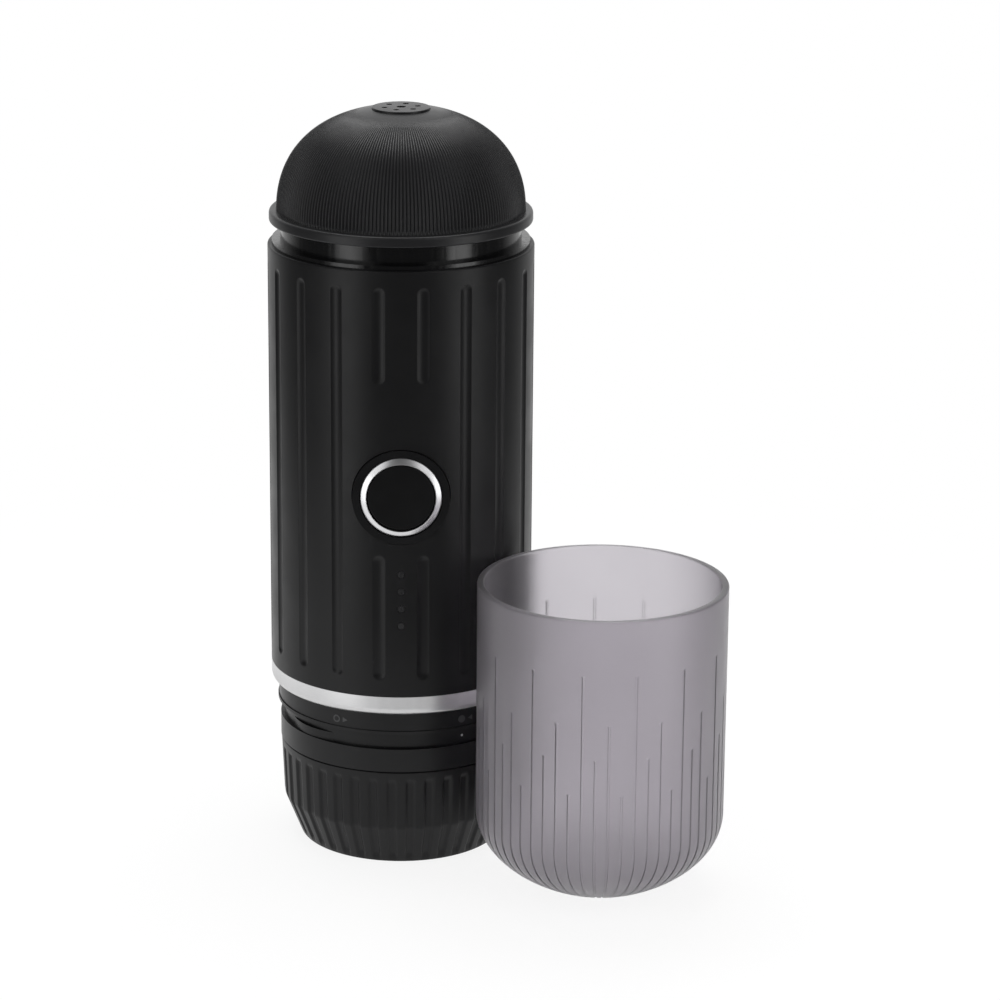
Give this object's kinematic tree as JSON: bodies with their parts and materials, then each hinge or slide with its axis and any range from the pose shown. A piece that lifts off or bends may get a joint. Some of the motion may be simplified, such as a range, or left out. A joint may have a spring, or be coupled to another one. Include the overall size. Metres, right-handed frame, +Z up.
{
  "type": "portable coffee maker",
  "caption": "Upright battery coffee maker with domed tank lid, fluted body, round button, turn-off brew head and a separate translucent cup.",
  "frame": {"origin": "centre of the machine's base, on the surface that it stands on", "axes": "+Z up along the machine's axis, the button faces -Y, the cup stands towards +X and -Y"},
  "size_m": [0.1277, 0.1184, 0.2133],
  "materials": {
    "shell_plastic": "fine satin moulded black",
    "lid_plastic": "finely ribbed satin black",
    "vent_plastic": "satin black",
    "neck_plastic": "glossy black",
    "collar_plastic": "satin black",
    "ring_plastic": "satin black with a pale marker dot",
    "bowl_plastic": "fluted satin black",
    "bezel_plastic": "satin black",
    "button_plastic": "soft satin black",
    "window_plastic": "smoked translucent, unlit",
    "band_metal": "satin silver",
    "ring_metal": "bright satin silver",
    "cup_plastic": "smoke-grey translucent, lightly frosted",
    "seal_rubber": "matte",
    "tube_rubber": "translucent silicone",
    "screen_steel": "perforated satin steel",
    "tank_steel": "drawn satin steel",
    "screw_steel": "zinc plated",
    "socket_steel": "nickel plated",
    "motor_steel": "zinc plated can",
    "shaft_steel": "ground",
    "rotor_iron": "laminated, varnished",
    "heater_aluminium": "satin",
    "holder_aluminium": "anodised satin",
    "outlet_plastic": "matte",
    "chassis_plastic": "matte moulded",
    "pump_plastic": "matte moulded",
    "cell_wrap": "shrink wrap",
    "board_laminate": "solder mask",
    "switch_plastic": "matte",
    "lamp_plastic": "clear lens"
  },
  "bodies": {
    "machine": {"outer_shell": "shell_plastic", "trim_band": "band_metal", "brew_collar": "collar_plastic", "frame_screws": "screw_steel", "shower_screen": "screen_steel", "brew_gasket": "seal_rubber", "button_bezel": "bezel_plastic", "button_ring": "ring_metal", "light_guide": "window_plastic", "indicator_leds": "lamp_plastic", "control_board": "board_laminate", "board_switch": "switch_plastic", "chassis": "chassis_plastic", "battery_cells": "cell_wrap", "pump_head": "pump_plastic", "pump_motor": "motor_steel", "inlet_tube": "tube_rubber", "outlet_tube": "tube_rubber", "socket_board": "board_laminate", "charging_socket": "socket_steel", "heater_plate": "heater_aluminium", "water_tank": "tank_steel", "tank_gasket": "seal_rubber", "tank_neck": "neck_plastic"},
    "button": {"button_cap": "button_plastic"},
    "lid": {"dome_lid": "lid_plastic", "vent_disc": "vent_plastic", "lid_seal": "seal_rubber"},
    "brew_head": {"portafilter_ring": "ring_plastic", "grip_bowl": "bowl_plastic", "capsule_holder": "holder_aluminium", "filter_screen": "screen_steel", "coffee_outlet": "outlet_plastic"},
    "pump_shaft": {"motor_shaft": "shaft_steel", "motor_rotor": "rotor_iron", "pump_eccentric": "pump_plastic"},
    "cup": {"drinking_cup": "cup_plastic"}
  },
  "joints": [
    {"name": "brew_head_turn", "type": "hinge", "parent": "machine", "child": "brew_head", "pos_m": [0, 0, 0.035], "axis": [0, 0, 1], "range_deg": [-60, 0]},
    {"name": "lid_lift", "type": "slide", "parent": "machine", "child": "lid", "axis": [0, 0, 1], "range_m": [0, 0.045]},
    {"name": "button_press", "type": "slide", "parent": "machine", "child": "button", "axis": [0, 1, 0], "range_m": [0, 0.001], "stiffness_N_per_m": 400, "springref_m": -0.003},
    {"name": "pump_shaft_spin", "type": "hinge", "parent": "machine", "child": "pump_shaft", "pos_m": [0, 0, 0.1], "axis": [0, 0, 1], "continuous": true},
    {"name": "cup_lift", "type": "slide", "parent": "machine", "child": "cup", "axis": [0, 0, 1], "range_m": [0, 0.12]}
  ]
}
